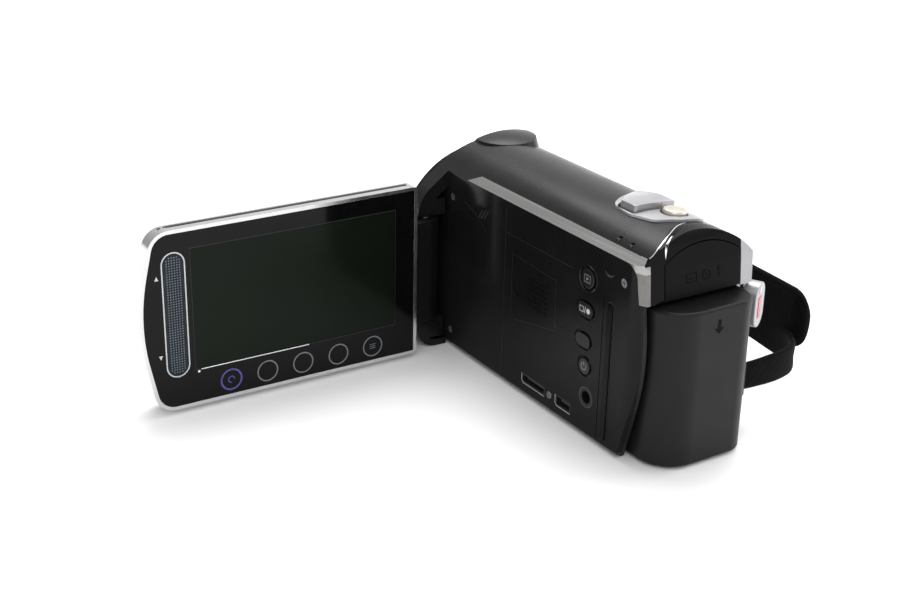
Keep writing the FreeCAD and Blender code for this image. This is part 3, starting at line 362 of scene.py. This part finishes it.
# ---------------------------------------------------------------- building pieces
def surface_of(node):
    """Ray-castable copy of a CAD node in the row frame."""
    holder = frame["nodes"][node]
    points = [holder.matrix_world @ v.co for v in holder.data.vertices]
    return BVHTree.FromPolygons(points, [list(p.vertices) for p in holder.data.polygons])


def piece_from(name, work, paint, body):
    """Turn a bmesh in the row frame into a piece that rides on a body."""
    mesh = bpy.data.meshes.new(name)
    work.to_mesh(mesh)
    work.free()
    piece = bpy.data.objects.new(name, mesh)
    bpy.context.scene.collection.objects.link(piece)
    piece.data.materials.append(paint)
    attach(piece, body)
    return piece


def softened(node, width, angle=28, segments=3):
    """The same moulding with its sharp edges rounded as a moulding's are."""
    holder = frame["nodes"][node]
    work = bmesh.new()
    work.from_mesh(holder.data)
    bmesh.ops.transform(work, matrix=holder.matrix_world, verts=work.verts)
    bmesh.ops.remove_doubles(work, verts=work.verts, dist=0.002 * MM)
    bmesh.ops.dissolve_limit(work, angle_limit=math.radians(0.6), verts=work.verts, edges=work.edges)
    for face in work.faces:
        face.smooth = True
    piece = piece_from(node + "_skin", work, finish_of(node), BODY_OF[node])
    edge = piece.modifiers.new("edges", "BEVEL")
    edge.width = width * MM
    edge.segments = segments
    edge.limit_method = "ANGLE"
    edge.angle_limit = math.radians(angle)
    edge.use_clamp_overlap = True
    edge.harden_normals = True
    piece.modifiers.new("shading", "WEIGHTED_NORMAL").keep_sharp = True
    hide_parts(node)
    return piece


class Marks:
    """Thin raised or printed marks, drawn in millimetres on a plane and laid on the surface behind it."""

    def __init__(self, origin, across, up):
        self.origin = Vector(origin)
        self.across = Vector(across).normalized()
        self.up = Vector(up).normalized()
        self.out = self.across.cross(self.up)
        self.shapes = []

    def line(self, points, width, closed=False):
        """Strip of even width along points."""
        flat = [Vector(p) for p in points]
        count = len(flat)
        sides = []
        for i, here in enumerate(flat):
            before = flat[i - 1] if closed or i else here
            after = flat[(i + 1) % count] if closed or i < count - 1 else here
            along = (after - before).normalized()
            normal = Vector((-along.y, along.x)) * width / 2
            sides.append((here + normal, here - normal))
        for i in range(count if closed else count - 1):
            a, b = sides[i], sides[(i + 1) % count]
            self.shapes.append([a[0], a[1], b[1], b[0]])
        return self

    def ring(self, centre, radius, width, start=0, stop=360, steps=40):
        turns = [math.radians(start + (stop - start) * i / steps) for i in range(steps + 1)]
        points = [(centre[0] + radius * math.cos(t), centre[1] + radius * math.sin(t)) for t in turns]
        full = stop - start == 360
        return self.line(points[:-1] if full else points, width, full)

    def crescent(self, centre, radius, width, start, stop, steps=28):
        """Arc that swells in the middle and thins towards its ends."""
        for i in range(steps):
            corners = []
            for j, side in ((i, 1), (i, -1), (i + 1, -1), (i + 1, 1)):
                turn = math.radians(start + (stop - start) * j / steps)
                swell = width / 2 * math.sin(math.pi * (j + 0.35) / (steps + 0.7))
                reach = radius + side * swell
                corners.append(Vector((centre[0] + reach * math.cos(turn),
                                       centre[1] + reach * math.sin(turn))))
            self.shapes.append(corners)
        return self

    def disc(self, centre, radius, steps=20):
        turns = [2 * math.pi * i / steps for i in range(steps)]
        self.shapes.append([Vector((centre[0] + radius * math.cos(t), centre[1] + radius * math.sin(t)))
                            for t in turns])
        return self

    def patch(self, *corners):
        self.shapes.append([Vector(c) for c in corners])
        return self

    def pill(self, centre, long, wide, width, steps=12):
        """Outline of an upright slot."""
        straight = (long - wide) / 2
        points = []
        for side, first in ((1, 0), (-1, 180)):
            for i in range(steps + 1):
                turn = math.radians(first + 180 * i / steps)
                points.append((centre[0] + wide / 2 * math.cos(turn),
                               centre[1] + side * straight + wide / 2 * math.sin(turn)))
        return self.line(points, width, True)

    def frame(self, left, bottom, right, top, width):
        return self.line([(left, bottom), (right, bottom), (right, top), (left, top)], width, True)

    def lay(self, name, node, paint, height, slot=None):
        """Project the marks back onto a node and give them a little thickness."""
        ground = surface_of(node)
        work = bmesh.new()
        for shape in self.shapes:
            corners = []
            for p in shape:
                start = self.origin + (self.across * p.x + self.up * p.y) * MM
                place = ground.ray_cast(start + self.out * 6 * MM, -self.out)[0] or start
                corners.append(work.verts.new(place + self.out * height * MM))
            work.faces.new(corners)
        bmesh.ops.remove_doubles(work, verts=work.verts, dist=0.004 * MM)
        sunk = bmesh.ops.extrude_face_region(work, geom=list(work.faces))
        lower = [v for v in sunk["geom"] if isinstance(v, bmesh.types.BMVert)]
        bmesh.ops.translate(work, verts=lower, vec=-self.out * (height + 0.06) * MM)
        bmesh.ops.recalc_face_normals(work, faces=work.faces)
        return piece_from(name, work, paint, BODY_OF[node])


def on_bay():
    """Drawing plane of the wall behind the screen: right is +Y, up is +Z."""
    return Marks((high("bay_wall").x, 0, 0), (0, 1, 0), (0, 0, 1))


def on_glass():
    """Drawing plane of the open screen's glass: right is -X, up is +Z."""
    return Marks((0, high("panel_glass").y, 0), (-1, 0, 0), (0, 0, 1))


def on_rear(node):
    """Drawing plane behind the camera: right is -X, up is +Z."""
    return Marks((0, high(node).y, 0), (-1, 0, 0), (0, 0, 1))


def on_top(node):
    """Drawing plane above the camera: right is +X, up is +Y."""
    return Marks((0, 0, high(node).z), (1, 0, 0), (0, 1, 0))


def on_record():
    """Drawing plane of the record button, which faces obliquely outwards."""
    turn = math.radians(RECORD_TURN)
    return Marks(Vector(RECORD) * MM, (-math.cos(turn), -math.sin(turn), 0), (0, 0, 1))


# ---------------------------------------------------------------- screen
def make_screen_marks():
    keys = on_glass()
    for x in KEY_X[:-1]:
        keys.ring((-x, KEY_Z), 2.95, 0.38)
    for step in (-0.6, 0, 0.6):
        keys.line([(-KEY_X[0] - 0.9, KEY_Z + step), (-KEY_X[0] + 0.9, KEY_Z + step)], 0.2)
    keys.lay("touch_keys", "panel_glass", prints["key_grey"], 0.025)
    lit = on_glass()
    lit.ring((-KEY_X[-1], KEY_Z), 2.95, 0.5)
    lit.ring((-KEY_X[-1], KEY_Z), 0.9, 0.3, 0, 270, 18)
    lit.lay("touch_key_lit", "panel_glass", prints["key_blue"], 0.03)
    back = on_glass()
    for row in range(SLIDER_ROWS):
        level = SLIDER[1] - SLIDER[2] / 2 + (row + 0.5) * SLIDER[2] / SLIDER_ROWS
        over = max(0.0, abs(level - SLIDER[1]) - SLIDER[2] / 2 + SLIDER[3] / 2)
        half = math.sqrt(max(0.0, (SLIDER[3] / 2 - 0.3) ** 2 - over ** 2))
        step = SLIDER[2] / SLIDER_ROWS / 2
        if half:
            back.patch((-SLIDER[0] - half, level - step), (-SLIDER[0] + half, level - step),
                       (-SLIDER[0] + half, level + step), (-SLIDER[0] - half, level + step))
    back.lay("slider_back", "panel_glass", prints["slider_back"], 0.012)
    slider = on_glass()
    slider.pill((-SLIDER[0], SLIDER[1]), SLIDER[2], SLIDER[3], 0.36)
    for end in (1, -1):
        tip = SLIDER_LABEL[1] + end * SLIDER_LABEL[2]
        slider.patch((-SLIDER_LABEL[0] - 0.55, tip), (-SLIDER_LABEL[0], tip + end * 1.2),
                     (-SLIDER_LABEL[0] + 0.55, tip))
    slider.lay("slider_outline", "panel_glass", prints["line_silver"], 0.04)
    dots = on_glass()
    rows = int((SLIDER[2] - 2.6) / DOT_PITCH)
    for row in range(rows + 1):
        level = SLIDER[1] - rows * DOT_PITCH / 2 + row * DOT_PITCH
        for column in (-2.5, -1.5, -0.5, 0.5, 1.5, 2.5):
            over = max(0, abs(level - SLIDER[1]) - SLIDER[2] / 2 + SLIDER[3] / 2)
            reach = math.hypot(column * DOT_PITCH, over)
            if reach < SLIDER[3] / 2 - 0.8:
                dots.disc((-SLIDER[0] + column * DOT_PITCH, level), 0.2, 6)
    dots.lay("slider_dots", "panel_glass", prints["dot_blue"], 0.03)
    rim = on_glass()
    left, bottom = -high("screen").x / MM, low("screen").z / MM
    right, top = -low("screen").x / MM, high("screen").z / MM
    rim.frame(left - 0.25, bottom - 0.25, right + 0.25, top + 0.25, 0.22)
    rim.lay("display_edge", "panel_glass", prints["faint_line"], 0.012)
    # Painted glint: a bright line and dot along the display's lower edge, standing in for a reflection there.
    glint = on_glass()
    glint.line([(-97.5, bottom - 0.35), (-65.5, bottom - 0.35)], 0.24)
    glint.disc((-98.2, bottom - 0.9), 0.35, 10)
    glint.lay("display_painted_glint", "panel_glass", prints["painted_highlight"], 0.03)
    seam = on_top("panel_frame")
    seam.line([(SEAM_START + SEAM_STEP * i, SEAM_Y) for i in range(SEAM_POINTS)], 0.9)
    seam.lay("frame_seam", "panel_frame", prints["seam_dark"], 0.12)


# ---------------------------------------------------------------- bay wall
def make_bay_marks():
    dots = on_bay()
    dots.ring((23.5, SOCKET_Z), 0.75, 0.5, 0, 360, 20)
    dots.lay("bay_dots", "bay_wall", prints["print_white"], 0.06)
    # Lighter grey lines along the rib's edges and round two small mouldings: painted highlights on those
    # edges.
    soft = on_bay()
    soft.crescent((46.0, 50.2), 2.2, 0.5, 215, 325, 14)
    soft.ring((6.4, 30.3), 1.9, 0.22, 0, 360, 24)
    for side in (-1, 1):
        soft.line([(RIB_Y + side * RIB_HALF, 4.0), (RIB_Y + side * RIB_HALF, RIB_TOP)], 0.12)
    soft.ring((RIB_Y, RIB_TOP), RIB_HALF, 0.16, 0, 180, 14)
    soft.lay("bay_edge_highlights", "bay_wall", prints["line_grey"], 0.04)
    faint = on_bay()
    faint.line([(0.2, 3.2), (0.2, 51.5)], 0.14)
    faint.line([(0.6, 45.0), (31.5, 45.0)], 0.14)
    faint.ring((-24.5, 25.0), 22.5, 0.16, 48, 80, 30)
    for i in range(3):
        shift = 1.5 * i
        faint.line([(-13.6 + shift, 44.6 + 0.3 * i), (-11.4 + shift, 47.6 + 0.3 * i)], 0.55)
    faint.lay("bay_lines", "bay_wall", prints["faint_line"], 0.012)
    # Lighter outline along the speaker grille's real edge: painted edge highlight.
    edge = on_bay()
    edge.line([(3.9, 39.9), (24.0, 38.9), (24.5, 24.9), (3.9, 20.9)], 0.18, True)
    edge.lay("grille_edge_highlight", "bay_wall", prints["faint_line"], 0.02)
    symbols = on_bay()
    y, z = PLAY_KEY
    symbols.frame(y - 1.25, z - 0.95, y + 1.25, z + 0.95, 0.2)
    symbols.patch((y - 0.4, z - 0.5), (y + 0.55, z), (y - 0.4, z + 0.5))
    symbols.lay("play_symbol", "play_button", prints["print_grey"], 0.02)
    symbols = on_bay()
    y, z = MODE_KEY
    symbols.frame(y - 2.2, z - 0.75, y - 0.7, z + 0.65, 0.18)
    symbols.line([(y - 0.2, z - 0.9), (y + 0.1, z + 0.9)], 0.18)
    symbols.disc((y + 1.3, z), 0.75, 14)
    symbols.lay("mode_symbol", "mode_button", prints["print_white"], 0.02)
    symbols = on_bay()
    y, z = POWER_KEY
    symbols.ring((y, z), 1.0, 0.22, 120, 420, 24).line([(y, z + 0.2), (y, z + 1.25)], 0.22)
    symbols.lay("power_symbol", "power_button", prints["print_grey"], 0.02)
    # Lighter crescents on parts of the raised rings round the play and power keys: real rims, with their
    # highlights painted.
    rings = on_bay()
    rings.crescent(PLAY_KEY, 3.5, 0.6, -70, 95)
    rings.crescent(PLAY_KEY, 3.45, 0.3, 150, 255)
    rings.crescent(POWER_KEY, 3.1, 0.3, -60, 60)
    rings.lay("key_rim_highlights", "bay_wall", prints["line_grey"], 0.1)
    # Lighter arc at one end of the mode and quick key surrounds: real rims, with their highlights painted.
    pills = on_bay()
    for (y, z), long, tall in ((MODE_KEY, 7.6, 5.0), (QUICK_KEY, 7.2, 4.8)):
        pills.line([(y + (long / 2 - tall / 2) + tall / 2 * math.cos(math.radians(t)),
                     z + tall / 2 * math.sin(math.radians(t))) for t in range(-80, 81, 8)], 0.22)
    pills.lay("pill_rim_highlights", "bay_wall", prints["line_grey"], 0.05)
    for name, y, long, tall in (("wide", 15.9, 10.6, 2.6), ("small", 29.7, 6.6, 3.0)):
        near, foot = y - long / 2, SOCKET_Z - tall / 2
        rim = on_bay()
        rim.line([(y + long / 2, foot - 0.1), (near + 0.6, foot - 0.1),
                  (near - 0.1, foot + 0.6), (near - 0.1, SOCKET_Z + tall / 2 + 0.1)], 0.2)
        rim.lay(name + "_socket_rim", "bay_wall", prints["line_silver"], 0.05)
    rim = on_bay()
    rim.ring(JACK, 2.75, 0.22)
    rim.lay("jack_rim", "bay_wall", prints["line_grey"], 0.05)


# ---------------------------------------------------------------- rear
def make_band_highlights():
    """Painted highlights along the edges of the gloss band that runs over the rear of the roof: bright metal
    lines laid where its reflections fall.
    """
    for name, route, width in (("band_painted_highlight", BAND_FRONT_HIGHLIGHT, 0.3), ("band_glint", BAND_REAR_HIGHLIGHT, 0.35)):
        above = on_top("roof_shell")
        above.line([Vector((p[0], p[1])) for p in smooth_route([(x, y, 0) for x, y in route], 8)], width)
        above.lay(name, "rear_band", prints["painted_highlight"], 0.05)


def make_rear_marks():
    arrow = on_rear("battery_case")
    x, z = ARROW
    arrow.patch((x - 0.5, z + 1.8), (x - 0.5, z - 0.4), (x + 0.5, z - 0.4), (x + 0.5, z + 1.8))
    arrow.patch((x - 1.5, z - 0.4), (x, z - 2.0), (x + 1.5, z - 0.4))
    arrow.lay("battery_arrow", "battery_case", prints["emboss"], 0.06)
    signs = on_rear("terminal_cover")
    signs.ring((2.2, 49.0), 1.2, 0.3, 0, 360, 24).disc((2.2, 49.0), 0.4, 10)
    signs.frame(-4.2, 47.9, -1.0, 50.1, 0.3)
    signs.line([(-3.4, 48.8), (-1.8, 48.8)], 0.25)
    signs.line([(6.2, 47.8), (6.2, 50.2)], 0.3).patch((5.4, 49.8), (7.0, 49.8), (6.2, 50.9))
    signs.lay("cover_signs", "terminal_cover", prints["emboss"], 0.07)
    button = on_record()
    button.patch((-1.5, -3.3), (0.5, -3.3), (0.5, 2.4), (-1.5, 2.4))
    button.lay("record_bar", "record_button", prints["red"], 0.14)
    notch = on_record()
    notch.patch((-1.3, 3.4), (0.3, 3.4), (0.3, 5.2), (-1.3, 5.2))
    notch.lay("record_notch", "record_button", prints["line_silver"], 0.1)


# ---------------------------------------------------------------- hand strap
def make_pad():
    """Crowned foam pad with a piped edge, sewn round its rim."""
    ground = surface_of("strap_pad")
    near, far = low("strap_pad"), high("strap_pad")
    lower, upper = near.z, far.z
    rows, columns = 150, 72
    work = bmesh.new()
    loops = []
    for i in range(rows + 1):
        share = i / rows
        y = near.y + (far.y - near.y) * share
        y = min(max(y, near.y + 0.02 * MM), far.y - 0.02 * MM)
        outer = ground.ray_cast(Vector((-0.08, y, (lower + upper) / 2)), Vector((1, 0, 0)))[0].x
        inner = ground.ray_cast(Vector((-0.03, y, (lower + upper) / 2)), Vector((-1, 0, 0)))[0].x
        core = (outer + inner) / 2
        end = min(share, 1 - share) * (far.y - near.y) / MM
        pinch = math.sqrt(max(0.0, 1 - (1 - min(end / END_ROUND, 1)) ** 2))
        tall = (upper - lower) / 2 - (1 - pinch) * END_ROUND * 0.9 * MM
        thick = (inner - outer) / 2 * (0.28 + 0.72 * math.sqrt(min(end / 4.0, 1)))
        loop = []
        for j in range(columns):
            turn = 2 * math.pi * j / columns
            c, s = math.cos(turn), math.sin(turn)
            across = math.copysign(abs(s) ** 0.75, s)
            deep = math.copysign(abs(c) ** 0.9, c)
            rim = 1 - 0.16 * math.exp(-((abs(across) - 0.86) / 0.05) ** 2)
            crown = thick * deep * rim * (1 + 0.16 * math.cos(across * math.pi / 2))
            dimple = noise.noise(Vector((y * 90, across * 1.6, 3.0 if c > 0 else 9.0)))
            crown += dimple * 0.28 * MM * abs(deep)
            loop.append(work.verts.new((core + crown, y, (lower + upper) / 2 + across * tall)))
        loops.append(loop)
    for a, b in zip(loops, loops[1:]):
        for j in range(columns):
            k = (j + 1) % columns
            work.faces.new((a[j], a[k], b[k], b[j]))
    work.faces.new(loops[0])
    work.faces.new(loops[-1])
    bmesh.ops.recalc_face_normals(work, faces=work.faces)
    for face in work.faces:
        face.smooth = True
    pad = piece_from("hand_pad", work, finishes["strap_fabric"], "camera")
    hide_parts("strap_pad")


def smooth_route(points, steps):
    """Even curve through points."""
    dense = []
    for i in range(len(points) - 1):
        p = [Vector(points[max(0, i - 1)]), Vector(points[i]), Vector(points[i + 1]),
             Vector(points[min(len(points) - 1, i + 2)])]
        for j in range(steps):
            t = j / steps
            bend = (2 * p[0] - 5 * p[1] + 4 * p[2] - p[3]) * t * t
            twist = (3 * p[1] - p[0] - 3 * p[2] + p[3]) * t ** 3
            dense.append(0.5 * ((2 * p[1]) + (p[2] - p[0]) * t + bend + twist))
    dense.append(Vector(points[-1]))
    return dense


def make_web():
    """One flat webbing from the rear lug, through the pad, to the front lug."""
    route = smooth_route(WEB_ROUTE, 14)
    work = bmesh.new()
    loops = []
    for i, place in enumerate(route):
        along = (route[min(i + 1, len(route) - 1)] - route[max(i - 1, 0)]).normalized()
        flat = Vector((0, 0, 1)) - along * along.z
        flat.normalize()
        out = flat.cross(along).normalized()
        share = i / (len(route) - 1)
        half = (WEB_WIDE[0] + (WEB_WIDE[1] - WEB_WIDE[0]) * share) / 2
        loop = []
        for j in range(28):
            turn = 2 * math.pi * j / 28
            c, s = math.cos(turn), math.sin(turn)
            wide = math.copysign(abs(s) ** 0.45, s) * half
            deep = math.copysign(abs(c) ** 0.55, c) * WEB_THICK / 2
            deep += 0.12 * math.sin(share * 31 + wide) * (1 if share > 0.1 else 0)
            loop.append(work.verts.new((place + flat * wide + out * deep) * MM))
        loops.append(loop)
    for a, b in zip(loops, loops[1:]):
        for j in range(28):
            k = (j + 1) % 28
            work.faces.new((a[j], a[k], b[k], b[j]))
    work.faces.new(loops[0])
    work.faces.new(loops[-1])
    bmesh.ops.recalc_face_normals(work, faces=work.faces)
    for face in work.faces:
        face.smooth = True
    web = piece_from("hand_webbing", work, finishes["web_fabric"], "camera")
    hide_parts("strap_webbing")


VIEW_PLACE = (0.23344, 0.31324, 0.18420)     # metres
VIEW_TURNS = (-32.31, 22.81, 1.15)           # heading, pitch and roll in degrees
VIEW_LENS = 59.53                            # mm, on a 36 mm wide sensor
DARK_SIDE = (0.9, -0.43, 0.0)                # the studio is dimmer on this side
DARK_FADE = (-0.2, 0.8, 1.0, 0.42)           # where the dimming starts and ends, and both strengths
KEY_X = (45.3, 56.3, 67.35, 78.2, 89.0)      # touch keys under the display, in mm
KEY_Z = 6.9
SLIDER = (103.9, 28.8, 35.1, 6.3)            # centre, length and width of the touch slider
DOT_PITCH = 0.72
SLIDER_ROWS = 44
SLIDER_LABEL = (108.6, 28.8, 10.6)           # place and half length of the arrows beside it
# routes of the painted highlights along the gloss band's front and rear edges, in mm over the roof
BAND_FRONT_HIGHLIGHT = ((15.2, 57.2), (14.2, 57.3), (12.1, 56.6), (9.4, 55.5), (6.5, 54.1), (3.1, 52.3), (-0.5, 51.3))
BAND_REAR_HIGHLIGHT = ((10.8, 57.8), (9.7, 57.1), (8.4, 56.3), (7.2, 55.6))
SEAM_START, SEAM_STEP, SEAM_POINTS = 33.0, 2.94, 26
SEAM_Y = -28.0                               # parting line along the screen's top edge
SOCKET_Z = 5.6                               # height of both connectors in the bay
RIB_Y, RIB_HALF, RIB_TOP = 47.2, 1.15, 40.2  # rubber rib in the bay
PLAY_KEY = (37.6, 44.4)
MODE_KEY = (37.4, 35.8)
QUICK_KEY = (37.0, 27.2)
POWER_KEY = (38.1, 20.3)
JACK = (39.4, 11.8)
ARROW = (1.2, 38.0)                          # on the battery
RECORD = (-19.6, 57.2, 37.2)                 # middle of the record button
RECORD_TURN = 30.0
END_ROUND = 7.0                              # rounding of the pad's ends
WEB_ROUTE = [(-24.9, 51.7, 12.8), (-30.0, 51.8, 12.8), (-38.0, 51.4, 12.8), (-44.0, 49.6, 12.9),
             (-47.4, 45.8, 13.1), (-49.2, 40.0, 13.6), (-49.9, 32.0, 14.2), (-49.9, 20.0, 15.6),
             (-48.8, 5.0, 18.2), (-46.4, -8.0, 20.4), (-42.6, -18.0, 21.6), (-36.4, -26.0, 22.0),
             (-30.0, -30.0, 22.0), (-24.8, -30.8, 22.0)]    # middle of the webbing, lug to lug
WEB_WIDE = (7.6, 13.6)
WEB_THICK = 1.7

OWN_FINISH = {"rear_cap": "cap_black", "terminal_cover": "cap_black", "signal_sockets": "socket_metal",
              "card_socket": "socket_metal", "case_screws": "screw_metal"}
SOFT_EDGES = {"hinge_block": 1.6, "panel_frame": 0.35, "panel_back": 0.5, "panel_end_cap": 0.7,
              "bay_trim": 0.3, "terminal_cover": 0.3, "rear_cap": 0.3, "rear_band": 0.25,
              "record_button": 0.6, "zoom_lever": 0.3, "control_plate": 0.2, "strap_lugs": 0.4,
              "bay_rib": 0.25, "side_trim": 0.25, "front_shoulder": 0.25}

make_stage()
make_light()
make_camera()
finishes = make_finishes()
prints = make_prints()
paint_nodes()
bpy.context.view_layer.update()
make_screen_marks()
make_bay_marks()
make_rear_marks()
make_band_highlights()
make_pad()
make_web()
for moulding, edge_width in SOFT_EDGES.items():
    softened(moulding, edge_width)
